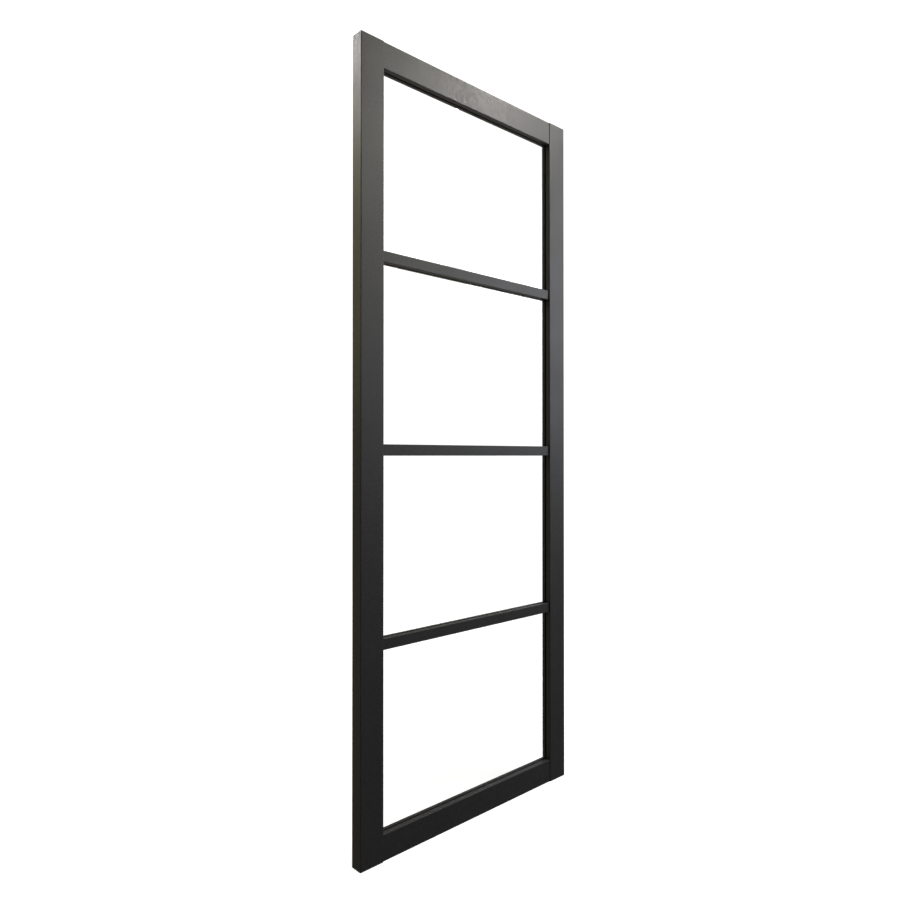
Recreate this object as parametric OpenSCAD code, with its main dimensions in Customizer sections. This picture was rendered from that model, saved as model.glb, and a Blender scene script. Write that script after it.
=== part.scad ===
// Glazed internal door leaf: narrow stiles and rails, slim glazing bars and equal clear lites.
// The leaf stands upright. X runs across its width, Y through its thickness and Z up.
// The origin is the middle of the bottom edge, and the front face looks towards -Y.
// Lites and bars are numbered from the bottom.

/* [Leaf] */
// Width of the leaf
leaf_w = 762; // [500:1:1200]
// Height of the leaf
leaf_h = 1981; // [1500:1:2500]
// Thickness of the leaf, measured on its stiles
leaf_t = 35; // [28:0.5:50]
// Number of glazing bars, spaced so that every lite has the same height
bar_count = 3; // [1:1:5]

/* [Stiles, rails and bars] */
// Face width of each stile
stile_w = 68; // [50:1:120]
// Face height of the top rail
top_rail_h = 65; // [50:1:150]
// Face height of the bottom rail
bottom_rail_h = 65; // [50:1:250]
// Face height of a glazing bar
bar_h = 28; // [23:0.5:45]
// Depth of the rails' faces below the stiles' faces, front and back
rail_recess = 1.5; // [0:0.5:3]
// Depth of the bars' faces below the stiles' faces, front and back
bar_recess = 4; // [2:0.5:5]
// Radius of the eased long edges
arris_r = 1.5; // [0.5:0.25:2.5]

/* [Rebates and glass] */
// Thickness of the lip in front of the glass, from the stile's face
lip_t = 14.5; // [12:0.5:18]
// Depth of the rebates behind the sight line, which is also the height of the beads
rebate_h = 10; // [8:0.5:12]
// Thickness of a pane
glass_t = 4; // [3:0.5:6]
// Free space between a pane's edge and the rebate's floor
glass_gap = 2; // [1:0.25:3]
// Chamfer of a pane's edges
glass_chamfer = 0.5; // [0.2:0.1:1]
// Thickness of the glazing tape on either side of a pane
tape_t = 1; // [0.5:0.25:1.5]
// Width of the glazing tape, from the pane's edge
tape_w = 7; // [4:0.5:7]
// Length of a setting block
block_l = 30; // [15:1:60]

/* [Glazing beads] */
// Radius on the beads' edge that shows at the back
bead_r = 2; // [0.5:0.25:3]
// Length that a bead is cut short, so that its mitres slip into place
mitre_gap = 0.2; // [0.1:0.05:0.5]
// Diameter of a bead pin
pin_d = 1.25; // [1:0.05:1.6]
// Timber left beyond the point of a pin that is driven into a bar's web
pin_cover = 2; // [1:0.25:2.5]
// Depth of the filled hole over a bead pin's head
pin_sink = 1; // [0.5:0.25:2]
// Largest distance between neighbouring pins of a bead
pin_pitch = 160; // [100:5:300]
// Shift of the pins along each bead, which keeps the pins of facing beads apart
pin_shift = 8; // [4:1:20]

/* [Dowels] */
// Diameter of the dowels between rails and stiles
rail_dowel_d = 10; // [8:1:12]
// Length of the dowels between rails and stiles
rail_dowel_l = 80; // [50:5:90]
// Distance from a rail dowel's axis to the rail's outer edge or rebate floor
rail_dowel_edge = 15; // [12:1:16]
// Diameter of the dowels between bars and stiles
bar_dowel_d = 6; // [4:0.5:7]
// Length of the dowels between bars and stiles
bar_dowel_l = 50; // [30:5:60]
// Distance between the two dowels at each end of a bar
bar_dowel_pitch = 14; // [10:0.5:16]
// Chamfer of a dowel's ends
dowel_chamfer = 1; // [0.5:0.25:1.5]
// Free space at each end of a dowel, for glue
glue_gap = 1; // [0.5:0.25:2]
// Radial clearance of dowels and pins in their holes
hole_clearance = 0.05; // [0.02:0.01:0.1]

/* [Hidden] */
$fn = 48;

// Places through the thickness, from front to back
front_y = -leaf_t / 2;
back_y = leaf_t / 2;
lip_y = front_y + lip_t;
glass_y = lip_y + tape_t;
rear_tape_y = glass_y + glass_t;
bead_y = rear_tape_y + tape_t;
bead_back_y = back_y - bar_recess;
bead_t = bead_back_y - bead_y;

// Lites: the clear sight size, the size between rebate floors, and the pane's size
lite_count = bar_count + 1;
lite_w = leaf_w - 2 * stile_w;
lite_h = (leaf_h - top_rail_h - bottom_rail_h - bar_count * bar_h) / lite_count;
rebate_w = lite_w + 2 * rebate_h;
rebate_tall = lite_h + 2 * rebate_h;
pane_w = rebate_w - 2 * glass_gap;
pane_h = rebate_tall - 2 * glass_gap;

// Web of a bar, between the rebates above and below it
web_h = bar_h - 2 * rebate_h;
// A pin runs from under its filler through the bead, and stops inside the web
pin_l = rebate_h - pin_sink + web_h - pin_cover;

// Steps in each quarter round of an eased edge
ARC_STEP = 15;
// Length by which a cut runs past the face it opens
CUT = 1;

BLACK_PAINT = "#2b2b2c";
GLASS = "#cfe0dc80";
FOAM = "#111111";
BEECH = "#c9a878";
STEEL = "#9a9c9e";
NYLON = "#3d4a55";

PER_LITE = [
    "glass_pane_", "front_tape_", "rear_tape_",
    "bottom_bead_", "top_bead_", "left_bead_", "right_bead_", "bead_pins_"
];

// Height of the rebate floor under pane i
function rebate_z(i) = bottom_rail_h - rebate_h + (i - 1) * (lite_h + bar_h);

// Height of the lower edge of pane i
function pane_z(i) = rebate_z(i) + glass_gap;

// Height of the middle of bar i, which lies above lite i
function bar_z(i) = rebate_z(i + 1) - web_h / 2;

// Heights of the dowels in a rail of height h, from the rail's outer edge
function rail_dowel_heights(h) = [rail_dowel_edge, h - rebate_h - rail_dowel_edge];

// Places of the pins along a bead whose sight edge has length l
function pin_places(l) =
    let (count = ceil(l / pin_pitch), step = l / count)
    [for (k = [0:count - 1]) (k + 0.5) * step - l / 2 + pin_shift];

function unit(v) = v / norm(v);

// Outline through square corners [x, y, radius], with each corner rounded to its radius
function eased(corners) = [
    for (i = [0:len(corners) - 1])
        let (
            here = [corners[i].x, corners[i].y],
            last = corners[(i + len(corners) - 1) % len(corners)],
            next = corners[(i + 1) % len(corners)],
            u = unit([last.x, last.y] - here),
            v = unit([next.x, next.y] - here),
            r = corners[i][2]
        )
        each r == 0 ? [here] : [
            for (a = [0:ARC_STEP:90]) here + r * (u * (1 - sin(a)) + v * (1 - cos(a)))
        ]
];

// Runs a [y, z] section along X for length l, centred
module run_x(l) {
    rotate([90, 0, 90]) linear_extrude(l, center = true) children();
}

// Runs an [x, z] outline along Y from y0 to y1
module run_y(y0, y1) {
    translate([0, y1, 0]) rotate([90, 0, 0]) linear_extrude(y1 - y0) children();
}

// Draws its children, made for the right half, on the left (side -1) or the right (side 1)
module on_half(side) {
    mirror([side < 0 ? 1 : 0, 0, 0]) children();
}

// Plain round bar along X, centred, for the holes of dowels
module rod_x(d, l) {
    rotate([0, 90, 0]) cylinder(d = d, h = l, center = true);
}

// Grooveless dowel along X, centred, with chamfered ends
module dowel(d, l) {
    straight = l - 2 * dowel_chamfer;
    rod_x(d, straight);
    for (side = [0, 1])
        mirror([side, 0, 0]) translate([straight / 2, 0, 0]) rotate([0, 90, 0])
            cylinder(d1 = d, d2 = d - 2 * dowel_chamfer, h = dowel_chamfer);
}

// Puts its children at every dowel place between the rails and the stiles
module at_rail_dowels() {
    for (x = [-1, 1] * lite_w / 2) {
        for (z = rail_dowel_heights(bottom_rail_h)) translate([x, 0, z]) children();
        for (z = rail_dowel_heights(top_rail_h)) translate([x, 0, leaf_h - z]) children();
    }
}

// Puts its children at every dowel place between the bars and the stiles
module at_bar_dowels() {
    flange_mid_y = (front_y + bar_recess + lip_y) / 2;
    for (i = [1:bar_count], x = [-1, 1] * lite_w / 2, z = [-1, 1] * bar_dowel_pitch / 2)
        translate([x, flange_mid_y, bar_z(i) + z]) children();
}

// Holes for both kinds of dowel
module dowel_holes() {
    at_rail_dowels() rod_x(rail_dowel_d + 2 * hole_clearance, rail_dowel_l + 2 * glue_gap);
    at_bar_dowels() rod_x(bar_dowel_d + 2 * hole_clearance, bar_dowel_l + 2 * glue_gap);
}

// Puts its children, made upwards from z = 0, on the rebate floor at one side of lite i
module on_side(i, side) {
    middle = rebate_z(i) + rebate_tall / 2;
    place = side == "bottom" ? [0, rebate_z(i), 0]
        : side == "top" ? [0, rebate_z(i) + rebate_tall, 180]
        : side == "right" ? [rebate_w / 2, middle, -90]
        : [-rebate_w / 2, middle, 90];
    translate([place[0], 0, place[1]]) rotate([0, place[2], 0]) children();
}

// Length of the sight edge on a side
function sight_length(side) = side == "bottom" || side == "top" ? lite_w : lite_h;

// Puts its children, made upwards from a pin's point, at each pin on one side of lite i
module at_pins(i, side) {
    on_side(i, side)
        for (x = pin_places(sight_length(side)))
            translate([x, (bead_y + bead_back_y) / 2, rebate_h - pin_sink - pin_l]) children();
}

// Holes for the pins on one side of lite i
module pin_holes(i, side) {
    at_pins(i, side) cylinder(d = pin_d + 2 * hole_clearance, h = pin_l);
}

// Stile at the left (side -1) or the right (side 1), rebated between the two rails
module stile(side) {
    floor_x = rebate_w / 2;
    sight_x = lite_w / 2;
    edge_x = leaf_w / 2;
    rebate_z0 = rebate_z(1);
    rebate_z1 = rebate_z(lite_count) + rebate_tall;
    solid_section = eased([
        [edge_x, front_y, arris_r], [edge_x, back_y, arris_r],
        [sight_x, back_y, arris_r], [sight_x, front_y, arris_r]
    ]);
    rebated_section = eased([
        [edge_x, front_y, arris_r], [edge_x, back_y, arris_r],
        [floor_x, back_y, arris_r], [floor_x, lip_y, 0],
        [sight_x, lip_y, 0], [sight_x, front_y, arris_r]
    ]);
    color(BLACK_PAINT) difference() {
        on_half(side) {
            linear_extrude(rebate_z0) polygon(solid_section);
            translate([0, 0, rebate_z0])
                linear_extrude(rebate_z1 - rebate_z0) polygon(rebated_section);
            translate([0, 0, rebate_z1]) linear_extrude(leaf_h - rebate_z1) polygon(solid_section);
        }
        dowel_holes();
        for (i = [1:lite_count]) pin_holes(i, side < 0 ? "left" : "right");
    }
}

// Rail of height h, drawn as the bottom rail
module rail(h) {
    run_x(lite_w) polygon(eased([
        [front_y + rail_recess, 0, arris_r], [back_y - rail_recess, 0, arris_r],
        [back_y - rail_recess, h - rebate_h, arris_r], [lip_y, h - rebate_h, 0],
        [lip_y, h, 0], [front_y + rail_recess, h, arris_r]
    ]));
}

module bottom_rail() {
    color(BLACK_PAINT) difference() {
        rail(bottom_rail_h);
        dowel_holes();
        pin_holes(1, "bottom");
    }
}

module top_rail() {
    color(BLACK_PAINT) difference() {
        translate([0, 0, leaf_h]) mirror([0, 0, 1]) rail(top_rail_h);
        dowel_holes();
        pin_holes(lite_count, "top");
    }
}

// T-shaped bar above lite i: a flange in front of the glass and a web between the beads.
// The web runs on behind the stiles' lips to the floor of their rebates.
module glazing_bar(i) {
    face_y = front_y + bar_recess;
    web_t = bead_back_y - lip_y;
    color(BLACK_PAINT) difference() {
        translate([0, 0, bar_z(i)]) {
            run_x(lite_w) polygon(eased([
                [face_y, -bar_h / 2, arris_r], [lip_y, -bar_h / 2, 0],
                [lip_y, bar_h / 2, 0], [face_y, bar_h / 2, arris_r]
            ]));
            translate([0, lip_y + web_t / 2, 0]) cube([rebate_w, web_t, web_h], center = true);
        }
        dowel_holes();
        pin_holes(i, "top");
        pin_holes(i + 1, "bottom");
    }
}

// Pane of lite i, with a small chamfer on every edge
module glass_pane(i) {
    x = pane_w / 2;
    y0 = glass_y;
    y1 = rear_tape_y;
    z = pane_h;
    c = glass_chamfer;
    color(GLASS) translate([0, 0, pane_z(i)]) intersection() {
        run_x(pane_w) polygon([
            [y0 + c, 0], [y1 - c, 0], [y1, c], [y1, z - c],
            [y1 - c, z], [y0 + c, z], [y0, z - c], [y0, c]
        ]);
        linear_extrude(pane_h) polygon([
            [-x, y0 + c], [c - x, y0], [x - c, y0], [x, y0 + c],
            [x, y1 - c], [x - c, y1], [c - x, y1], [-x, y1 - c]
        ]);
    }
}

// Ring of glazing tape round the pane of lite i, its front at y
module tape(i, y) {
    color(FOAM) translate([-pane_w / 2, 0, pane_z(i)]) run_y(y, y + tape_t) difference() {
        square([pane_w, pane_h]);
        translate([tape_w, tape_w]) square([pane_w - 2 * tape_w, pane_h - 2 * tape_w]);
    }
}

// Mitred glazing bead on one side of lite i
module bead(i, side) {
    cut_l = sight_length(side) + 2 * rebate_h - mitre_gap;
    color(BLACK_PAINT) difference() {
        on_side(i, side) intersection() {
            run_x(cut_l) polygon(eased([
                [bead_y, 0, 0], [bead_back_y, 0, 0],
                [bead_back_y, rebate_h, bead_r], [bead_y, rebate_h, 0]
            ]));
            run_y(bead_y - CUT, bead_back_y + CUT) polygon([
                [-cut_l / 2, 0], [cut_l / 2, 0],
                [cut_l / 2 - rebate_h, rebate_h], [rebate_h - cut_l / 2, rebate_h]
            ]);
        }
        pin_holes(i, side);
    }
}

// Panel pins that hold the four beads of lite i
module bead_pins(i) {
    color(STEEL) for (side = ["bottom", "right", "top", "left"])
        at_pins(i, side) cylinder(d = pin_d, h = pin_l);
}

// Two blocks under every pane, at a quarter and three quarters of its width
module setting_blocks() {
    color(NYLON) for (i = [1:lite_count], x = [-1, 1] * pane_w / 4)
        translate([x - block_l / 2, glass_y, rebate_z(i)]) cube([block_l, glass_t, glass_gap]);
}

module rail_dowels() {
    color(BEECH) at_rail_dowels() dowel(rail_dowel_d, rail_dowel_l);
}

module bar_dowels() {
    color(BEECH) at_bar_dowels() dowel(bar_dowel_d, bar_dowel_l);
}

stile(-1);  // left_stile
stile(1);  // right_stile
top_rail();
bottom_rail();
for (i = [1:bar_count]) {
    glazing_bar(i);
}
for (i = [1:lite_count]) {
    glass_pane(i);
    tape(i, lip_y);
    tape(i, rear_tape_y);
    bead(i, "bottom");
    bead(i, "top");
    bead(i, "left");
    bead(i, "right");
    bead_pins(i);
}
setting_blocks();
rail_dowels();
bar_dowels();
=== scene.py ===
"""Looks of a black painted glazed door leaf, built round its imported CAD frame.

Lengths are in metres. X runs across the leaf, Y from its front to its back and Z up. Lites, the clear
openings that hold the panes, are numbered from the bottom, as the CAD nodes are.
"""

import logging
import math
from collections.abc import Callable
from dataclasses import dataclass
from enum import Enum
from typing import Any

import bpy
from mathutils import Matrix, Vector


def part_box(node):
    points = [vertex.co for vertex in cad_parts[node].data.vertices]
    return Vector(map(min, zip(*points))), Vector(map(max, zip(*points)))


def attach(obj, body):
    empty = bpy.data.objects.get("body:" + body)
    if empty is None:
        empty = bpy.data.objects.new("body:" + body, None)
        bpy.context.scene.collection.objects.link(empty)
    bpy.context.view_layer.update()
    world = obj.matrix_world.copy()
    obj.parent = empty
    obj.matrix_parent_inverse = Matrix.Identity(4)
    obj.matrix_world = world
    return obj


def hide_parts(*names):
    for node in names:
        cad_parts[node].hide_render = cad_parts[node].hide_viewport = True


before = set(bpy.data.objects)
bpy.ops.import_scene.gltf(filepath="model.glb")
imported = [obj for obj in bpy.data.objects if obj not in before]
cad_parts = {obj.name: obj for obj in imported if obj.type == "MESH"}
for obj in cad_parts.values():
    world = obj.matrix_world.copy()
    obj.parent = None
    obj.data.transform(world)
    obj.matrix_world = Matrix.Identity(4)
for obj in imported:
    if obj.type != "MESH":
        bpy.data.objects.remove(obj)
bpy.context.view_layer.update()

MM = 0.001
ROOT = "root"
# Least part of a face's normal along a direction, for the face to count as facing that way
FACING = 0.9
# Greatest part of a face's normal along an axis, for the face to count as running along it
ALONG = 0.1
# Places closer together than this count as the same when edges are chosen
CLOSE = MM / 100

log = logging.getLogger("glazed_door")

Corner = tuple[float, float, float]


class Grain(Enum):
    """Way in which a piece's timber fibres run, as the axis they follow."""

    UPRIGHT = 2
    LEVEL = 0


class Face(Enum):
    """Side of a pane that a glazing tape is stuck to, as the start of its CAD node's name."""

    FRONT = "front_tape"
    REAR = "rear_tape"


class Edge(Enum):
    """Side of a lite, as the first word of its bead's CAD node."""

    BOTTOM = "bottom"
    TOP = "top"
    LEFT = "left"
    RIGHT = "right"


# ---------------------------------------------------------------------------------------------------
# Small tools for node trees and for modelling
# ---------------------------------------------------------------------------------------------------


def linear(hex_colour: str) -> tuple[float, float, float, float]:
    """Turns an sRGB hex colour into linear RGBA.

    Args:
        hex_colour: Colour such as "#1c1c1d".

    Returns:
        Red, green, blue and an alpha of 1.
    """
    channels = [int(hex_colour[i : i + 2], 16) / 255 for i in (1, 3, 5)]
    red, green, blue = [
        c / 12.92 if c <= 0.04045 else ((c + 0.055) / 1.055) ** 2.4 for c in channels
    ]
    return red, green, blue, 1.0


def add_node(
    tree: bpy.types.NodeTree, kind: str, inputs: dict | None = None, **settings: Any
) -> bpy.types.Node:
    """Adds a node with its settings, values and links.

    Args:
        tree: Node tree that gets the node.
        kind: Name of the node's type.
        inputs: For an input's name or number, the value it takes or the socket it is linked from.
        **settings: Properties of the node itself.

    Returns:
        The new node.
    """
    node = tree.nodes.new(kind)
    for name, value in settings.items():
        setattr(node, name, value)
    for name, value in (inputs or {}).items():
        if isinstance(value, bpy.types.NodeSocket):
            tree.links.new(value, node.inputs[name])
        else:
            node.inputs[name].default_value = value
    return node


def new_material(name: str) -> tuple[bpy.types.Material, bpy.types.NodeTree]:
    """Makes a material with an empty node tree.

    Args:
        name: Name of the material.

    Returns:
        The material and its node tree.
    """
    material = bpy.data.materials.new(name)
    material.use_nodes = True
    material.node_tree.nodes.clear()
    return material, material.node_tree


def deselect_all() -> None:
    """Leaves object mode clean, so that the next operator acts on what is added or chosen next."""
    if bpy.context.object is not None and bpy.context.object.mode != "OBJECT":
        bpy.ops.object.mode_set(mode="OBJECT")
    bpy.ops.object.select_all(action="DESELECT")


def active_piece(name: str) -> bpy.types.Object:
    """Names the object that an operator has just added, and returns it."""
    piece = bpy.context.object
    piece.name = name
    piece.data.name = name
    return piece


def start_choice(piece: bpy.types.Object, kind: str) -> None:
    """Makes a piece the active one, in object mode, with none of its faces and edges selected.

    Args:
        piece: Mesh object to work on.
        kind: What is chosen next, FACE or EDGE.
    """
    deselect_all()
    bpy.context.view_layer.objects.active = piece
    piece.select_set(True)
    bpy.ops.object.mode_set(mode="EDIT")
    bpy.ops.mesh.select_mode(type=kind)
    bpy.ops.mesh.select_all(action="DESELECT")
    bpy.ops.object.mode_set(mode="OBJECT")


def choose_faces(
    piece: bpy.types.Object, test: Callable[[bpy.types.MeshPolygon], bool]
) -> None:
    """Selects the faces that pass a test, and goes into edit mode on them.

    Args:
        piece: Mesh object to work on, which becomes the active one.
        test: Takes a face and says whether it is chosen.
    """
    start_choice(piece, "FACE")
    for face in piece.data.polygons:
        face.select = bool(test(face))
    bpy.ops.object.mode_set(mode="EDIT")


def choose_edges(piece: bpy.types.Object, test: Callable[[Vector, Vector], bool]) -> None:
    """Selects the edges that pass a test, and goes into edit mode on them.

    Args:
        piece: Mesh object to work on, which becomes the active one.
        test: Takes the places of an edge's two ends and says whether it is chosen.
    """
    start_choice(piece, "EDGE")
    points = piece.data.vertices
    for edge in piece.data.edges:
        edge.select = bool(test(points[edge.vertices[0]].co, points[edge.vertices[1]].co))
    bpy.ops.object.mode_set(mode="EDIT")


def place_in_mesh(piece: bpy.types.Object) -> None:
    """Moves a piece's place, turn and size into its mesh, so that its object sits at the origin."""
    deselect_all()
    bpy.context.view_layer.objects.active = piece
    piece.select_set(True)
    bpy.ops.object.transform_apply(location=True, rotation=True, scale=True)


def copy_to(piece: bpy.types.Object, place: Corner, turn: float = 0.0) -> bpy.types.Object:
    """Copies a piece that was modelled round the origin, with a mesh of its own.

    Args:
        piece: Piece to copy.
        place: Where the copy's origin goes.
        turn: Angle about Y, in radians, by which the copy is turned first.

    Returns:
        The copy, with its place in its mesh.
    """
    copy = piece.copy()
    copy.data = piece.data.copy()
    bpy.context.scene.collection.objects.link(copy)
    copy.location = place
    copy.rotation_euler = (0.0, turn, 0.0)
    place_in_mesh(copy)
    return copy


def join_as(name: str, parts: list[bpy.types.Object]) -> bpy.types.Object:
    """Joins parts into one piece.

    Args:
        name: Name of the piece.
        parts: Mesh objects, of which the first is kept.

    Returns:
        The joined piece.
    """
    deselect_all()
    for part in parts:
        part.select_set(True)
    bpy.context.view_layer.objects.active = parts[0]
    bpy.ops.object.join()
    return active_piece(name)


def cuboid(name: str, low: Corner, high: Corner) -> bpy.types.Object:
    """Adds a box between two corners, as the start of a shaped piece.

    Args:
        name: Name of the piece.
        low: Its lowest corner.
        high: Its highest corner.

    Returns:
        The piece, with its place in its mesh.
    """
    deselect_all()
    middle = [(a + b) / 2 for a, b in zip(low, high)]
    size = [b - a for a, b in zip(low, high)]
    bpy.ops.mesh.primitive_cube_add(size=1.0, location=middle, scale=size)
    piece = active_piece(name)
    place_in_mesh(piece)
    return piece


def finish_piece(piece: bpy.types.Object, material: bpy.types.Material, slot: str) -> None:
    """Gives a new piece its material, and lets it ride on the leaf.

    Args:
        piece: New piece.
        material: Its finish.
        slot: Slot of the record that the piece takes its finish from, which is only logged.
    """
    deselect_all()
    piece.data.materials.clear()
    piece.data.materials.append(material)
    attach(piece, ROOT)
    log.info("%s: new piece, %d faces, slot %s", piece.name, len(piece.data.polygons), slot)


def dress_node(name: str, material: bpy.types.Material) -> None:
    """Gives a carried-over CAD node its finish.

    Args:
        name: Name of the CAD node.
        material: Its finish, for all of its material slots.
    """
    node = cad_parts[name]
    for slot in node.material_slots:
        slot.material = material
    log.info("%s: CAD node, finish %s", name, material.name)


# ---------------------------------------------------------------------------------------------------
# Finishes
# ---------------------------------------------------------------------------------------------------


@dataclass(frozen=True)
class SatinBlackPaint:
    """Satin black water-borne paint, sprayed on primed and sanded timber.

    The film levels almost flat, so the eye gets a soft wide sheen with a trace of orange peel, and only
    a hint of the fibres under it. The pigment is not a dead black.
    """

    grain: Grain
    pigment: str = "#2d2d2e"
    thin_pigment: str = "#3e3e3f"
    roughness: tuple[float, float] = (0.42, 0.57)
    ior: float = 1.5
    # Fibres show through primer at about 1 mm, and are drawn at 2.5 mm so that they read in a view
    fibre_width: float = 2.5 * MM
    fibre_length: float = 90 * MM
    fibre_depth: float = 0.04 * MM
    fibre_strength: float = 0.5
    # Orange peel of a sprayed film is 1 to 2 mm wide, and is drawn at 3.6 mm so that it reads in a view
    peel_width: float = 3.6 * MM
    peel_depth: float = 0.07 * MM
    peel_strength: float = 0.8
    # Share of the peel in the sheen and in the pigment's depth, beside the passes and the fibres
    peel_share: float = 0.78
    # Values of the mixed patterns between which the sheen and the pigment's depth go from end to end
    sheen_span: tuple[float, float] = (0.38, 0.62)
    depth_span: tuple[float, float] = (0.35, 0.65)
    # Slow changes in how thick the film went on
    pass_width: float = 140 * MM

    def material(self) -> bpy.types.Material:
        """Builds the paint's material, with its fibres along the grain."""
        material, tree = new_material(f"satin_black_paint_{self.grain.name.lower()}")
        place = add_node(tree, "ShaderNodeTexCoord").outputs["Object"]
        stretch = [1 / self.fibre_width] * 3
        stretch[self.grain.value] = 1 / self.fibre_length
        along = add_node(tree, "ShaderNodeMapping", {"Vector": place, "Scale": stretch})
        fibres = add_node(
            tree,
            "ShaderNodeTexNoise",
            {"Vector": along.outputs[0], "Scale": 1.0, "Detail": 3.0, "Roughness": 0.6},
        )
        peel = add_node(
            tree,
            "ShaderNodeTexNoise",
            {"Vector": place, "Scale": 1 / self.peel_width, "Detail": 2.0, "Roughness": 0.5},
        )
        passes = add_node(
            tree,
            "ShaderNodeTexNoise",
            {"Vector": place, "Scale": 1 / self.pass_width, "Detail": 2.0, "Roughness": 0.5},
        )
        # Sheen follows the passes and the peel, and the pigment's depth follows the fibres and the peel
        uneven = add_node(
            tree,
            "ShaderNodeMix",
            {0: self.peel_share, 2: passes.outputs[0], 3: peel.outputs[0]},
            data_type="FLOAT",
        )
        film = add_node(
            tree,
            "ShaderNodeMapRange",
            {
                "Value": uneven.outputs[0],
                "From Min": self.sheen_span[0],
                "From Max": self.sheen_span[1],
                "To Min": self.roughness[0],
                "To Max": self.roughness[1],
            },
        )
        mottle = add_node(
            tree,
            "ShaderNodeMix",
            {0: self.peel_share, 2: fibres.outputs[0], 3: peel.outputs[0]},
            data_type="FLOAT",
        )
        depth = add_node(
            tree,
            "ShaderNodeMapRange",
            {
                "Value": mottle.outputs[0],
                "From Min": self.depth_span[0],
                "From Max": self.depth_span[1],
            },
        )
        shade = add_node(
            tree,
            "ShaderNodeMix",
            {0: depth.outputs[0], 6: linear(self.pigment), 7: linear(self.thin_pigment)},
            data_type="RGBA",
        )
        raised = add_node(
            tree,
            "ShaderNodeBump",
            {
                "Height": fibres.outputs[0],
                "Distance": self.fibre_depth,
                "Strength": self.fibre_strength,
            },
        )
        pebbled = add_node(
            tree,
            "ShaderNodeBump",
            {
                "Height": peel.outputs[0],
                "Distance": self.peel_depth,
                "Strength": self.peel_strength,
                "Normal": raised.outputs[0],
            },
        )
        paint = add_node(
            tree,
            "ShaderNodeBsdfPrincipled",
            {
                "Base Color": shade.outputs[2],
                "Roughness": film.outputs[0],
                "IOR": self.ior,
                "Normal": pebbled.outputs[0],
            },
        )
        add_node(tree, "ShaderNodeOutputMaterial", {"Surface": paint.outputs[0]})
        return material


@dataclass(frozen=True)
class ToughenedGlass:
    """Clear toughened float glass, 4 mm thick.

    The eye sees straight through it, with a faint mirror that grows towards grazing angles and a trace
    of green. Light goes straight on through so thin a sheet, so it is drawn without bending.
    """

    tint: str = "#fdfefd"
    ior: float = 1.52
    # Float glass is all but flat: its slow roller waves are far apart
    wave_width: float = 180 * MM
    wave_depth: float = 0.02 * MM

    def material(self) -> bpy.types.Material:
        """Builds the glass's material, as a clear sheet that mirrors by Fresnel."""
        material, tree = new_material("clear_toughened_glass")
        place = add_node(tree, "ShaderNodeTexCoord").outputs["Object"]
        waves = add_node(
            tree, "ShaderNodeTexNoise", {"Vector": place, "Scale": 1 / self.wave_width, "Detail": 0.0}
        )
        flat = add_node(
            tree, "ShaderNodeBump", {"Height": waves.outputs[0], "Distance": self.wave_depth}
        )
        # A ray that leaves the sheet meets the step in IOR the other way round
        behind = add_node(tree, "ShaderNodeNewGeometry").outputs["Backfacing"]
        step = add_node(
            tree, "ShaderNodeMix", {0: behind, 2: self.ior, 3: 1 / self.ior}, data_type="FLOAT"
        )
        share = add_node(tree, "ShaderNodeFresnel", {"IOR": step.outputs[0], "Normal": flat.outputs[0]})
        clear = add_node(tree, "ShaderNodeBsdfTransparent", {"Color": linear(self.tint)})
        mirror = add_node(
            tree,
            "ShaderNodeBsdfAnisotropic",
            {"Color": linear("#ffffff"), "Roughness": 0.0, "Normal": flat.outputs[0]},
        )
        sheet = add_node(
            tree,
            "ShaderNodeMixShader",
            {0: share.outputs[0], 1: clear.outputs[0], 2: mirror.outputs[0]},
        )
        add_node(tree, "ShaderNodeOutputMaterial", {"Surface": sheet.outputs[0]})
        return material


@dataclass(frozen=True)
class FoamTape:
    """Black closed-cell polyethylene foam glazing tape.

    Its cut edge is full of half cells, so the eye gets a dead matt black with fine pits, and the pits'
    hollows are painted darker as shade.
    """

    # The foam's black painted darker towards the middle of each pit as shade, and its lighter black at the
    # pits' rims
    colour: str = "#232323"
    unshaded_rim_colour: str = "#343434"
    cell_width: float = 0.35 * MM
    cell_depth: float = 0.05 * MM
    pit_strength: float = 0.8
    roughness: float = 0.92
    ior: float = 1.5

    def material(self) -> bpy.types.Material:
        """Builds the foam's material, with its cells as pits and painted shade in their hollows."""
        material, tree = new_material("black_foam_tape")
        place = add_node(tree, "ShaderNodeTexCoord").outputs["Object"]
        cells = add_node(tree, "ShaderNodeTexVoronoi", {"Vector": place, "Scale": 1 / self.cell_width})
        # Painted shade: the colour darkens towards each cell's middle, where the bump sinks the pit
        shade = add_node(
            tree,
            "ShaderNodeMix",
            {0: cells.outputs["Distance"], 6: linear(self.colour), 7: linear(self.unshaded_rim_colour)},
            data_type="RGBA",
        )
        pits = add_node(
            tree,
            "ShaderNodeBump",
            {
                "Height": cells.outputs["Distance"],
                "Distance": self.cell_depth,
                "Strength": self.pit_strength,
            },
        )
        foam = add_node(
            tree,
            "ShaderNodeBsdfPrincipled",
            {
                "Base Color": shade.outputs[2],
                "Roughness": self.roughness,
                "IOR": self.ior,
                "Normal": pits.outputs[0],
            },
        )
        add_node(tree, "ShaderNodeOutputMaterial", {"Surface": foam.outputs[0]})
        return material


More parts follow.
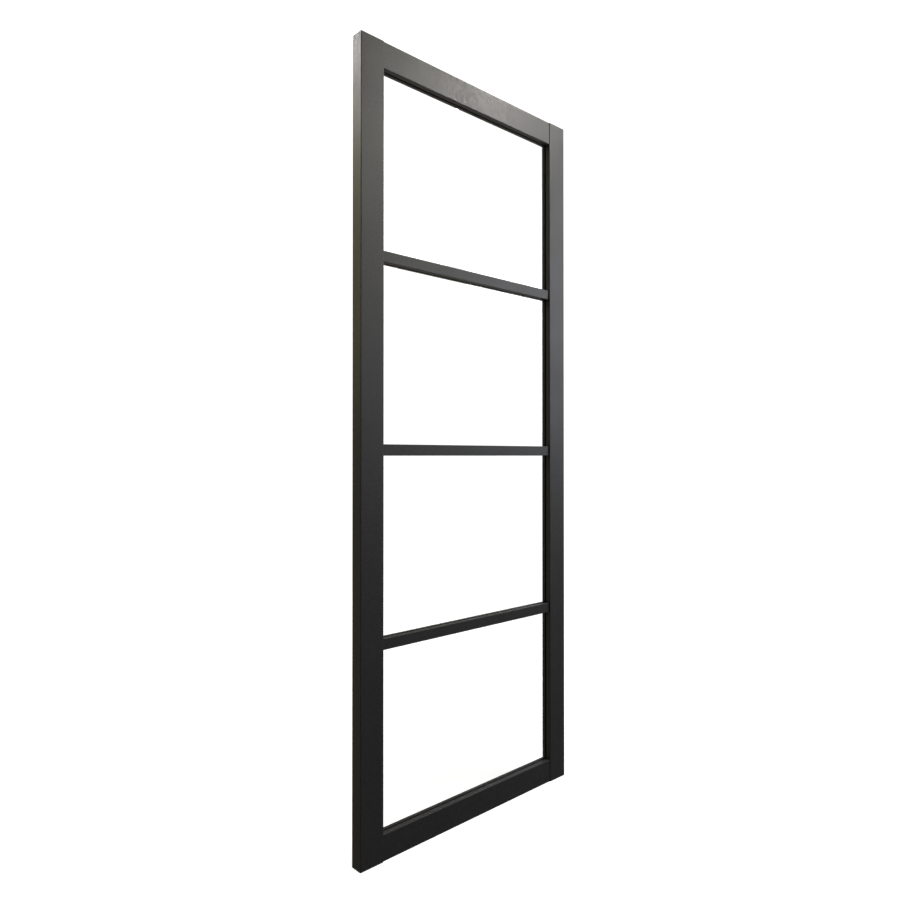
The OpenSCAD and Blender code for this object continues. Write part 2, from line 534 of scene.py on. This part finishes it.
@dataclass(frozen=True)
class TurnedBeech:
    """Steamed beech dowel, planed round and pressed with flutes.

    The eye gets a warm pinkish tan with short darker flecks along the dowel.
    """

    wood: str = "#c39c6c"
    fleck: str = "#9b7145"
    fleck_width: float = 0.5 * MM
    fleck_length: float = 3 * MM
    fleck_depth: float = 0.03 * MM
    # Values of the pattern between which plain wood turns to fleck
    fleck_span: tuple[float, float] = (0.5, 0.72)
    roughness: tuple[float, float] = (0.5, 0.66)
    ior: float = 1.5

    def material(self) -> bpy.types.Material:
        """Builds the beech's material, with its flecks along X."""
        material, tree = new_material("beech_dowel")
        place = add_node(tree, "ShaderNodeTexCoord").outputs["Object"]
        stretch = (1 / self.fleck_length, 1 / self.fleck_width, 1 / self.fleck_width)
        along = add_node(tree, "ShaderNodeMapping", {"Vector": place, "Scale": stretch})
        flecks = add_node(
            tree, "ShaderNodeTexNoise", {"Vector": along.outputs[0], "Scale": 1.0, "Detail": 4.0}
        )
        dark = add_node(
            tree,
            "ShaderNodeMapRange",
            {
                "Value": flecks.outputs[0],
                "From Min": self.fleck_span[0],
                "From Max": self.fleck_span[1],
            },
        )
        shade = add_node(
            tree,
            "ShaderNodeMix",
            {0: dark.outputs[0], 6: linear(self.wood), 7: linear(self.fleck)},
            data_type="RGBA",
        )
        rough = add_node(
            tree,
            "ShaderNodeMapRange",
            {"Value": flecks.outputs[0], "To Min": self.roughness[0], "To Max": self.roughness[1]},
        )
        raised = add_node(
            tree, "ShaderNodeBump", {"Height": flecks.outputs[0], "Distance": self.fleck_depth}
        )
        beech = add_node(
            tree,
            "ShaderNodeBsdfPrincipled",
            {
                "Base Color": shade.outputs[2],
                "Roughness": rough.outputs[0],
                "IOR": self.ior,
                "Normal": raised.outputs[0],
            },
        )
        add_node(tree, "ShaderNodeOutputMaterial", {"Surface": beech.outputs[0]})
        return material


@dataclass(frozen=True)
class DrawnSteel:
    """Bright mild steel panel pins, cut from drawn wire.

    The eye gets a grey metal with fine lines along the wire and a thin film of oil.
    """

    colour: str = "#a3a29f"
    stain: str = "#86827b"
    line_width: float = 0.12 * MM
    stain_width: float = 4 * MM
    roughness: tuple[float, float] = (0.28, 0.46)

    def material(self) -> bpy.types.Material:
        """Builds the steel's material, with its drawing lines and faint stains."""
        material, tree = new_material("drawn_steel_pin")
        place = add_node(tree, "ShaderNodeTexCoord").outputs["Object"]
        lines = add_node(tree, "ShaderNodeTexNoise", {"Vector": place, "Scale": 1 / self.line_width})
        stains = add_node(tree, "ShaderNodeTexNoise", {"Vector": place, "Scale": 1 / self.stain_width})
        shade = add_node(
            tree,
            "ShaderNodeMix",
            {0: stains.outputs[0], 6: linear(self.colour), 7: linear(self.stain)},
            data_type="RGBA",
        )
        rough = add_node(
            tree,
            "ShaderNodeMapRange",
            {"Value": lines.outputs[0], "To Min": self.roughness[0], "To Max": self.roughness[1]},
        )
        steel = add_node(
            tree,
            "ShaderNodeBsdfPrincipled",
            {"Base Color": shade.outputs[2], "Metallic": 1.0, "Roughness": rough.outputs[0]},
        )
        add_node(tree, "ShaderNodeOutputMaterial", {"Surface": steel.outputs[0]})
        return material


@dataclass(frozen=True)
class MouldedNylon:
    """Injection-moulded nylon setting block, in slate grey.

    The tool's spark-eroded walls leave a fine even texture, which the eye takes as a soft matt.
    """

    colour: str = "#3d4a55"
    rubbed: str = "#465462"
    spark_width: float = 0.25 * MM
    spark_depth: float = 0.01 * MM
    roughness: tuple[float, float] = (0.48, 0.62)
    ior: float = 1.53

    def material(self) -> bpy.types.Material:
        """Builds the nylon's material, with its spark-eroded texture."""
        material, tree = new_material("moulded_nylon_block")
        place = add_node(tree, "ShaderNodeTexCoord").outputs["Object"]
        sparks = add_node(tree, "ShaderNodeTexNoise", {"Vector": place, "Scale": 1 / self.spark_width})
        shade = add_node(
            tree,
            "ShaderNodeMix",
            {0: sparks.outputs[0], 6: linear(self.colour), 7: linear(self.rubbed)},
            data_type="RGBA",
        )
        rough = add_node(
            tree,
            "ShaderNodeMapRange",
            {"Value": sparks.outputs[0], "To Min": self.roughness[0], "To Max": self.roughness[1]},
        )
        eroded = add_node(
            tree, "ShaderNodeBump", {"Height": sparks.outputs[0], "Distance": self.spark_depth}
        )
        nylon = add_node(
            tree,
            "ShaderNodeBsdfPrincipled",
            {
                "Base Color": shade.outputs[2],
                "Roughness": rough.outputs[0],
                "IOR": self.ior,
                "Normal": eroded.outputs[0],
            },
        )
        add_node(tree, "ShaderNodeOutputMaterial", {"Surface": nylon.outputs[0]})
        return material


# ---------------------------------------------------------------------------------------------------
# The leaf's sub-assemblies
# ---------------------------------------------------------------------------------------------------


@dataclass
class Framing:
    """Stiles, rails and glazing bars, which stay as the CAD nodes they are."""

    bar_count: int = 3
    upright: SatinBlackPaint = SatinBlackPaint(Grain.UPRIGHT)
    level: SatinBlackPaint = SatinBlackPaint(Grain.LEVEL)

    def __post_init__(self) -> None:
        """Makes one paint for upright timbers and one for level timbers."""
        self.upright_paint = self.upright.material()
        self.level_paint = self.level.material()

    def dress(self) -> None:
        """Paints each timber along its own grain."""
        for name in ("left_stile", "right_stile"):
            dress_node(name, self.upright_paint)
        bars = [f"glazing_bar_{i}" for i in range(1, self.bar_count + 1)]
        for name in ["top_rail", "bottom_rail", *bars]:
            dress_node(name, self.level_paint)


@dataclass
class Glazing:
    """Everything that belongs to one lite: its pane, its two tapes, its beads, and their pins."""

    number: int
    upright_paint: bpy.types.Material
    level_paint: bpy.types.Material
    glass: bpy.types.Material
    foam: bpy.types.Material
    steel: bpy.types.Material
    # Tape: its width, how far its inner edge swells when pressed, and the slit where two ends meet
    tape_width: float = 7 * MM
    tape_swell: float = 0.45 * MM
    tape_joint: float = 0.3 * MM
    # Share of the tape's thickness left at the tip of the swelling, and how far its corners are rounded
    swell_tip: float = 0.5
    tape_round: float = 0.12 * MM
    # Filled pin holes in the beads' sight edges, spaced as the pins are
    pin_pitch: float = 160 * MM
    pin_shift: float = 8 * MM
    filler_radius: float = 1.5 * MM
    filler_rise: float = 0.12 * MM
    filler_root: float = 0.5 * MM
    filler_sides: int = 16
    # Steps in to the crown, as shares of the radius and of the rise. The radius has to outlast its
    # shares, or the crown folds through its centre
    filler_steps: tuple[tuple[float, float], ...] = ((0.3, 0.6), (0.3, 0.3), (0.3, 0.1))
    # Edges blunter than this are shaded smooth
    filler_smooth: float = math.radians(40)

    def dress(self) -> None:
        """Dresses the pane, the beads and the pins, which stay as the CAD nodes they are."""
        dress_node(f"glass_pane_{self.number}", self.glass)
        dress_node(f"bead_pins_{self.number}", self.steel)
        for edge in Edge:
            upright = edge in (Edge.LEFT, Edge.RIGHT)
            paint = self.upright_paint if upright else self.level_paint
            dress_node(f"{edge.value}_bead_{self.number}", paint)

    def strip(self, name: str, low: Corner, high: Corner, inward: Corner) -> bpy.types.Object:
        """Models one length of tape, whose inner edge has swollen under pressure.

        Args:
            name: Name of the strip.
            low: Its lowest corner.
            high: Its highest corner.
            inward: Direction in which its inner edge faces.

        Returns:
            The strip.
        """
        piece = cuboid(name, low, high)
        way = Vector(inward)
        choose_faces(piece, lambda face: face.normal.dot(way) > FACING)
        bpy.ops.mesh.extrude_region_move(
            TRANSFORM_OT_translate={"value": tuple(way * self.tape_swell)}
        )
        bpy.ops.transform.resize(value=(1.0, self.swell_tip, 1.0))
        bpy.ops.mesh.bevel(offset=self.tape_round, segments=2, affect="EDGES")
        bpy.ops.object.mode_set(mode="OBJECT")
        return piece

    def build_tape(self, face: Face) -> bpy.types.Object:
        """Models the ring of tape on one face of the pane, as four lengths butted at the corners.

        Args:
            face: Face of the pane that the tape is stuck to.

        Returns:
            The ring, as one piece.
        """
        node = f"{face.value}_{self.number}"
        low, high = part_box(node)
        width = self.tape_width
        slit = self.tape_joint
        left, right = low.x, high.x
        inner_low, inner_high = low.z + width, high.z - width
        lengths = [
            ((left, low.y, low.z), (right, high.y, inner_low), (0.0, 0.0, 1.0)),
            ((left, low.y, inner_high), (right, high.y, high.z), (0.0, 0.0, -1.0)),
            (
                (left, low.y, inner_low + slit),
                (left + width, high.y, inner_high - slit),
                (1.0, 0.0, 0.0),
            ),
            (
                (right - width, low.y, inner_low + slit),
                (right, high.y, inner_high - slit),
                (-1.0, 0.0, 0.0),
            ),
        ]
        strips = [self.strip(node + "_strip", *length) for length in lengths]
        ring = join_as(f"foam_{node}", strips)
        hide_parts(node)
        finish_piece(ring, self.foam, "glazing_tape")
        return ring

    def filler(self) -> bpy.types.Object:
        """Models one filled pin hole, a low painted dome that faces +Z, round the origin."""
        deselect_all()
        bpy.ops.mesh.primitive_cylinder_add(
            vertices=self.filler_sides,
            radius=self.filler_radius,
            depth=self.filler_root,
            location=(0.0, 0.0, -self.filler_root / 2),
        )
        dome = active_piece("filler")
        place_in_mesh(dome)
        choose_faces(dome, lambda face: face.normal.z > FACING)
        for spread, rise in self.filler_steps:
            bpy.ops.mesh.inset(
                thickness=self.filler_radius * spread, depth=self.filler_rise * rise
            )
        bpy.ops.object.mode_set(mode="OBJECT")
        deselect_all()
        dome.select_set(True)
        bpy.context.view_layer.objects.active = dome
        bpy.ops.object.shade_smooth_by_angle(angle=self.filler_smooth)
        return dome

    def pin_places(self, length: float) -> list[float]:
        """Gives the places of the pins along a bead.

        Args:
            length: Length of the bead's sight edge.

        Returns:
            Distances from the edge's middle.
        """
        # The small allowance keeps rounding from adding a pin where the pitch fits a whole number of times
        count = math.ceil(length / self.pin_pitch - 1e-6)
        step = length / count
        return [(k + 0.5) * step - length / 2 + self.pin_shift for k in range(count)]

    def build_fillers(self) -> bpy.types.Object:
        """Models the filled pin holes of all four beads, as one piece."""
        low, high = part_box(f"bottom_bead_{self.number}")
        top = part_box(f"top_bead_{self.number}")[0].z
        bottom = high.z
        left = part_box(f"left_bead_{self.number}")[1].x
        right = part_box(f"right_bead_{self.number}")[0].x
        middle_y = (low.y + high.y) / 2
        middle_z = (bottom + top) / 2
        across = self.pin_places(right - left)
        up = self.pin_places(top - bottom)
        dome = self.filler()
        quarter = math.pi / 2
        marks = [copy_to(dome, (x, middle_y, bottom)) for x in across]
        marks += [copy_to(dome, (-x, middle_y, top), 2 * quarter) for x in across]
        marks += [copy_to(dome, (right, middle_y, middle_z + z), -quarter) for z in up]
        marks += [copy_to(dome, (left, middle_y, middle_z - z), quarter) for z in up]
        bpy.data.objects.remove(dome)
        piece = join_as(f"filled_pin_holes_{self.number}", marks)
        finish_piece(piece, self.level_paint, "black_painted_timber")
        return piece

    def build(self) -> None:
        """Builds the lite's new pieces and dresses its carried-over nodes."""
        self.dress()
        for face in Face:
            self.build_tape(face)
        self.build_fillers()


@dataclass
class FlutedDowels:
    """One kind of fluted dowel, modelled once and put at every hole it fills."""

    node: str
    diameter: float
    length: float
    places: list[Corner]
    finish: bpy.types.Material
    flutes: int = 20
    flute_depth: float = 0.35 * MM
    # Share of a long face's width that each side of its flute slopes over
    flute_slope: float = 0.28
    chamfer: float = 1 * MM

    def model(self) -> bpy.types.Object:
        """Models one dowel along X, round the origin, with pressed flutes and chamfered ends."""
        deselect_all()
        bpy.ops.mesh.primitive_cylinder_add(
            vertices=2 * self.flutes,
            radius=self.diameter / 2,
            depth=self.length,
            rotation=(0.0, math.pi / 2, 0.0),
        )
        dowel = active_piece("dowel")
        place_in_mesh(dowel)
        half = self.length / 2
        choose_edges(dowel, lambda a, b: abs(a.x) > half - CLOSE and abs(a.x - b.x) < CLOSE)
        bpy.ops.mesh.bevel(offset=self.chamfer, segments=2, affect="EDGES")
        bpy.ops.object.mode_set(mode="OBJECT")
        step = math.pi / self.flutes
        straight = half - self.chamfer

        def in_flute(face: bpy.types.MeshPolygon) -> bool:
            """Says whether a face is every other one of the dowel's long faces."""
            turn = math.atan2(face.center.z, face.center.y) / step
            long_face = abs(face.normal.x) < ALONG and abs(face.center.x) < straight / 2
            return long_face and math.floor(turn) % 2 == 0

        choose_faces(dowel, in_flute)
        bpy.ops.mesh.inset(
            thickness=self.diameter * math.sin(step / 2) * self.flute_slope,
            depth=-self.flute_depth,
            use_individual=True,
        )
        bpy.ops.object.mode_set(mode="OBJECT")
        return dowel

    def build(self) -> bpy.types.Object:
        """Puts a copy of the dowel at each place, as one piece that stands for the CAD node."""
        dowel = self.model()
        copies = [copy_to(dowel, place) for place in self.places]
        bpy.data.objects.remove(dowel)
        piece = join_as(f"fluted_{self.node}", copies)
        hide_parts(self.node)
        finish_piece(piece, self.finish, "beech_dowel")
        return piece


@dataclass
class CoredBlocks:
    """The moulded blocks that each pane stands on, cored out underneath."""

    panes: int
    finish: bpy.types.Material
    node: str = "setting_blocks"
    length: float = 30 * MM
    pockets: int = 5
    wall: float = 0.6 * MM
    # A pocket's depth, and how much it narrows on the way so that the block leaves its mould
    pocket_depth: float = 0.9 * MM
    draft: float = 0.1 * MM
    edge_round: float = 0.2 * MM

    def model(self, thickness: float, height: float) -> bpy.types.Object:
        """Models one block round the origin, with a row of pockets in its underside.

        Args:
            thickness: Its size through the pane.
            height: Its height, from the rebate floor to the pane.

        Returns:
            The block.
        """
        half = Vector((self.length / 2, thickness / 2, height / 2))
        block = cuboid("block", tuple(-half), tuple(half))
        choose_edges(block, lambda a, b: abs(a.x - b.x) > half.x)
        bpy.ops.mesh.subdivide(number_cuts=self.pockets - 1)
        choose_faces(block, lambda face: face.normal.z < -FACING)
        bpy.ops.mesh.inset(thickness=self.wall, use_individual=True)
        bpy.ops.mesh.inset(thickness=self.draft, depth=-self.pocket_depth, use_individual=True)

        def on_rim(a: Vector, b: Vector) -> bool:
            """Says whether an edge lies where two outer faces of the block meet."""
            shared = [
                abs(a[k] - b[k]) < CLOSE and abs(abs(a[k]) - half[k]) < CLOSE for k in range(3)
            ]
            return sum(shared) > 1

        choose_edges(block, on_rim)
        bpy.ops.mesh.bevel(offset=self.edge_round, segments=2, affect="EDGES")
        bpy.ops.object.mode_set(mode="OBJECT")
        return block

    def build(self) -> bpy.types.Object:
        """Puts two blocks under each pane, as one piece that stands for the CAD node."""
        low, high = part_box("glass_pane_1")
        height = low.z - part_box(self.node)[0].z
        block = self.model(high.y - low.y, height)
        quarter = (high.x - low.x) / 4
        middle_y = (low.y + high.y) / 2
        copies = []
        for number in range(1, self.panes + 1):
            middle_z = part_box(f"glass_pane_{number}")[0].z - height / 2
            copies += [copy_to(block, (x, middle_y, middle_z)) for x in (-quarter, quarter)]
        bpy.data.objects.remove(block)
        piece = join_as(f"cored_{self.node}", copies)
        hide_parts(self.node)
        finish_piece(piece, self.finish, "setting_block")
        return piece


@dataclass
class Joinery:
    """The dowels that join rails and bars to the stiles, and the blocks that the panes stand on."""

    beech: bpy.types.Material
    nylon: bpy.types.Material
    bar_count: int = 3
    # Each kind of dowel by its diameter and length
    rail_dowel: tuple[float, float] = (10 * MM, 80 * MM)
    rail_dowel_edge: float = 15 * MM
    bar_dowel: tuple[float, float] = (6 * MM, 50 * MM)
    bar_dowel_pitch: float = 14 * MM
    bar_dowel_flutes: int = 14
    rebate_height: float = 10 * MM

    def rail_places(self) -> list[Corner]:
        """Gives the middles of the dowels between rails and stiles."""
        bottom_low, bottom_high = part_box("bottom_rail")
        top_low, top_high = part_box("top_rail")
        inset = self.rail_dowel_edge
        heights = [
            bottom_low.z + inset,
            bottom_high.z - self.rebate_height - inset,
            top_low.z + self.rebate_height + inset,
            top_high.z - inset,
        ]
        return [(x, 0.0, z) for x in (bottom_low.x, bottom_high.x) for z in heights]

    def bar_places(self) -> list[Corner]:
        """Gives the middles of the dowels between bars and stiles."""
        rail_low, rail_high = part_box("bottom_rail")
        back_of_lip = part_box("front_tape_1")[0].y
        places = []
        for i in range(1, self.bar_count + 1):
            low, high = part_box(f"glazing_bar_{i}")
            middle_y = (low.y + back_of_lip) / 2
            middle_z = (low.z + high.z) / 2
            for x in (rail_low.x, rail_high.x):
                for shift in (-self.bar_dowel_pitch / 2, self.bar_dowel_pitch / 2):
                    places.append((x, middle_y, middle_z + shift))
        return places

    def build(self) -> None:
        """Builds both kinds of dowel and the setting blocks."""
        FlutedDowels("rail_dowels", *self.rail_dowel, self.rail_places(), self.beech).build()
        flutes = self.bar_dowel_flutes
        FlutedDowels("bar_dowels", *self.bar_dowel, self.bar_places(), self.beech, flutes).build()
        CoredBlocks(self.bar_count + 1, self.nylon).build()


# ---------------------------------------------------------------------------------------------------
# The studio
# ---------------------------------------------------------------------------------------------------


@dataclass(frozen=True)
class Softbox:
    """A soft studio lamp, out of sight of the camera."""

    name: str
    place: Corner
    aim: Corner
    size: tuple[float, float]
    watts: float
    colour: tuple[float, float, float] = (1.0, 1.0, 1.0)
    # Angle that a honeycomb grid over the lamp lets out, in degrees
    spread: float = 180.0
    # Whether panes and sheen mirror the lamp, or it only lights what is matt
    mirrored: bool = True

    def build(self) -> None:
        """Hangs the lamp and turns it to what it lights."""
        data = bpy.data.lights.new(self.name, "AREA")
        data.shape = "RECTANGLE"
        data.size, data.size_y = self.size
        data.energy = self.watts
        data.color = self.colour
        data.spread = math.radians(self.spread)
        lamp = bpy.data.objects.new(self.name, data)
        bpy.context.scene.collection.objects.link(lamp)
        lamp.location = self.place
        lamp.rotation_euler = (Vector(self.aim) - Vector(self.place)).to_track_quat("-Z", "Y").to_euler()
        lamp.visible_camera = False
        lamp.visible_glossy = self.mirrored
        log.info("%s: softbox", self.name)


@dataclass(frozen=True)
class WallGlow:
    """Light that a wall or the ground throws back into the dim room, round one direction."""

    way: Corner
    colour: tuple[float, float, float]
    strength: float
    # Cosine of the angle from that direction at which it has faded out
    edge: float

    def add_to(self, tree: bpy.types.NodeTree, ray: Any) -> bpy.types.Node:
        """Adds the glow to the world's nodes.

        Args:
            tree: The world's node tree.
            ray: Socket with the direction that is looked in.

        Returns:
            The node whose first output is the glow.
        """
        towards = add_node(
            tree,
            "ShaderNodeVectorMath",
            {0: ray, 1: Vector(self.way).normalized()},
            operation="DOT_PRODUCT",
        )
        fade = add_node(
            tree,
            "ShaderNodeMapRange",
            {"Value": towards.outputs["Value"], "From Min": self.edge, "To Max": self.strength},
            interpolation_type="SMOOTHSTEP",
        )
        return add_node(
            tree,
            "ShaderNodeBackground",
            {"Color": (*self.colour, 1.0), "Strength": fade.outputs[0]},
        )


@dataclass
class Studio:
    """Camera, lamps, floor and backdrop."""

    eye: Corner = (-1.3658, -1.3925, 0.9772)
    heading: float = math.radians(42.725)
    tilt: float = math.radians(0.436)
    lens: float = 28.595
    sensor: float = 36.0
    floor_radius: float = 9.0
    dome_radius: float = 12.0
    backdrop_glow: float = 1.25
    floor_glow: float = 0.92
    paper: tuple[str, str] = ("#e9e9e8", "#efefee")
    paper_mottle: float = 3.0
    paper_roughness: float = 0.6
    # Distances from the leaf between which the floor fades into the backdrop
    floor_fade: tuple[float, float] = (1.6, 4.5)
    ambient: float = 0.094
    # Walls that throw a little light back: the way to each, its colour, and how bright and narrow it is
    glows: tuple[WallGlow, ...] = (
        WallGlow((0.66, 0.70, -0.25), (1.0, 0.87, 0.74), 0.40, 0.5),
        WallGlow((-0.57, 0.82, 0.10), (1.0, 0.91, 0.55), 0.26, 0.6),
    )
    lamps: tuple[Softbox, ...] = (
        Softbox("key_softbox", (0.82, -0.76, 2.54), (0.1, 0.0, 1.7), (0.3, 0.1), 3.7, (1.0, 0.94, 0.97)),
        Softbox("top_softbox", (1.2, -1.0, 2.95), (0.1, 0.0, 1.6), (0.5, 0.5), 14.9, (1.0, 0.98, 0.88)),
        Softbox("side_softbox", (3.5, -2.21, 2.16), (0.1, 0.0, 1.2), (2.0, 2.0), 61.0, (0.9, 0.92, 1.0)),
        Softbox("front_softbox", (2.2, -3.6, 3.2), (0.1, 0.0, 1.2), (1.6, 1.2), 21.2, (1.0, 0.95, 0.72)),
        Softbox(
            "edge_softbox", (-0.9, 0.9, 2.6), (-0.381, 0.0, 1.7), (0.3, 0.3), 0.93, (1.0, 0.96, 0.92), 50.0
        ),
        Softbox(
            "edge_strip", (-0.72, 0.5, 1.6), (-0.381, 0.0, 1.4), (0.15, 0.9), 0.13, (1.0, 0.87, 0.4), 70.0
        ),
        Softbox("rear_softbox", (0.5, 3.6, 1.2), (0.1, 0.0, 1.0), (2.2, 2.2), 70.0, mirrored=False),
    )

    def set_camera(self) -> None:
        """Sets up the camera in front of the leaf and to its left, about level with its middle."""
        data = bpy.data.cameras.new("studio_camera")
        data.lens = self.lens
        data.sensor_width = self.sensor
        camera = bpy.data.objects.new("studio_camera", data)
        bpy.context.scene.collection.objects.link(camera)
        way = Vector(
            (
                math.sin(self.heading) * math.cos(self.tilt),
                math.cos(self.heading) * math.cos(self.tilt),
                math.sin(self.tilt),
            )
        )
        camera.location = self.eye
        camera.rotation_euler = way.to_track_quat("-Z", "Y").to_euler()
        bpy.context.scene.camera = camera

    def light_room(self) -> None:
        """Gives the room a dim even light and its walls' glow, and hangs the lamps."""
        world = bpy.data.worlds.new("dim_room")
        world.use_nodes = True
        bpy.context.scene.world = world
        tree = world.node_tree
        tree.nodes.clear()
        ray = add_node(tree, "ShaderNodeTexCoord").outputs["Generated"]
        light = add_node(tree, "ShaderNodeBackground", {"Strength": self.ambient})
        for glow in self.glows:
            parts = {0: light.outputs[0], 1: glow.add_to(tree, ray).outputs[0]}
            light = add_node(tree, "ShaderNodeAddShader", parts)
        add_node(tree, "ShaderNodeOutputWorld", {"Surface": light.outputs[0]})
        for lamp in self.lamps:
            lamp.build()

    def build_floor(self) -> None:
        """Lays a pale floor that fades into the backdrop."""
        deselect_all()
        bpy.ops.mesh.primitive_circle_add(vertices=96, radius=self.floor_radius, fill_type="NGON")
        floor = active_piece("studio_floor")
        material, tree = new_material("pale_paper_floor")
        place = add_node(tree, "ShaderNodeTexCoord").outputs["Object"]
        mottle = add_node(
            tree,
            "ShaderNodeTexNoise",
            {"Vector": place, "Scale": self.paper_mottle, "Detail": 2.0},
        )
        shade = add_node(
            tree,
            "ShaderNodeMix",
            {0: mottle.outputs[0], 6: linear(self.paper[0]), 7: linear(self.paper[1])},
            data_type="RGBA",
        )
        paper = add_node(
            tree,
            "ShaderNodeBsdfDiffuse",
            {"Color": shade.outputs[2], "Roughness": self.paper_roughness},
        )
        glow = add_node(tree, "ShaderNodeEmission", {"Strength": self.floor_glow})
        lit = add_node(tree, "ShaderNodeAddShader", {0: paper.outputs[0], 1: glow.outputs[0]})
        backdrop = add_node(tree, "ShaderNodeEmission", {"Strength": self.backdrop_glow})
        distance = add_node(tree, "ShaderNodeVectorMath", {0: place}, operation="LENGTH")
        fade = add_node(
            tree,
            "ShaderNodeMapRange",
            {
                "Value": distance.outputs["Value"],
                "From Min": self.floor_fade[0],
                "From Max": self.floor_fade[1],
            },
            interpolation_type="SMOOTHSTEP",
        )
        blend = add_node(
            tree,
            "ShaderNodeMixShader",
            {0: fade.outputs[0], 1: lit.outputs[0], 2: backdrop.outputs[0]},
        )
        add_node(tree, "ShaderNodeOutputMaterial", {"Surface": blend.outputs[0]})
        floor.data.materials.append(material)
        # The leaf is shown cut out on plain white, so the floor neither lights it nor mirrors in it
        floor.visible_glossy = False
        floor.visible_diffuse = False

    def build_backdrop(self) -> None:
        """Hangs a plain white dome round the room, which only the camera sees."""
        deselect_all()
        bpy.ops.mesh.primitive_uv_sphere_add(segments=64, ring_count=32, radius=self.dome_radius)
        dome = active_piece("studio_backdrop")
        material, tree = new_material("white_backdrop")
        glow = add_node(tree, "ShaderNodeEmission", {"Strength": self.backdrop_glow})
        add_node(tree, "ShaderNodeOutputMaterial", {"Surface": glow.outputs[0]})
        dome.data.materials.append(material)
        dome.visible_glossy = False
        dome.visible_diffuse = False
        dome.visible_transmission = False
        dome.visible_shadow = False

    def build(self) -> None:
        """Sets up the whole studio."""
        bpy.context.scene.view_settings.view_transform = "Standard"
        self.set_camera()
        self.light_room()
        self.build_floor()
        self.build_backdrop()


def main() -> None:
    """Builds the studio and the leaf's sub-assemblies in order."""
    logging.basicConfig(level=logging.INFO, format="%(message)s")
    Studio().build()
    framing = Framing()
    framing.dress()
    glass = ToughenedGlass().material()
    foam = FoamTape().material()
    steel = DrawnSteel().material()
    for number in range(1, framing.bar_count + 2):
        Glazing(number, framing.upright_paint, framing.level_paint, glass, foam, steel).build()
    Joinery(TurnedBeech().material(), MouldedNylon().material()).build()


if __name__ == "__main__":
    main()
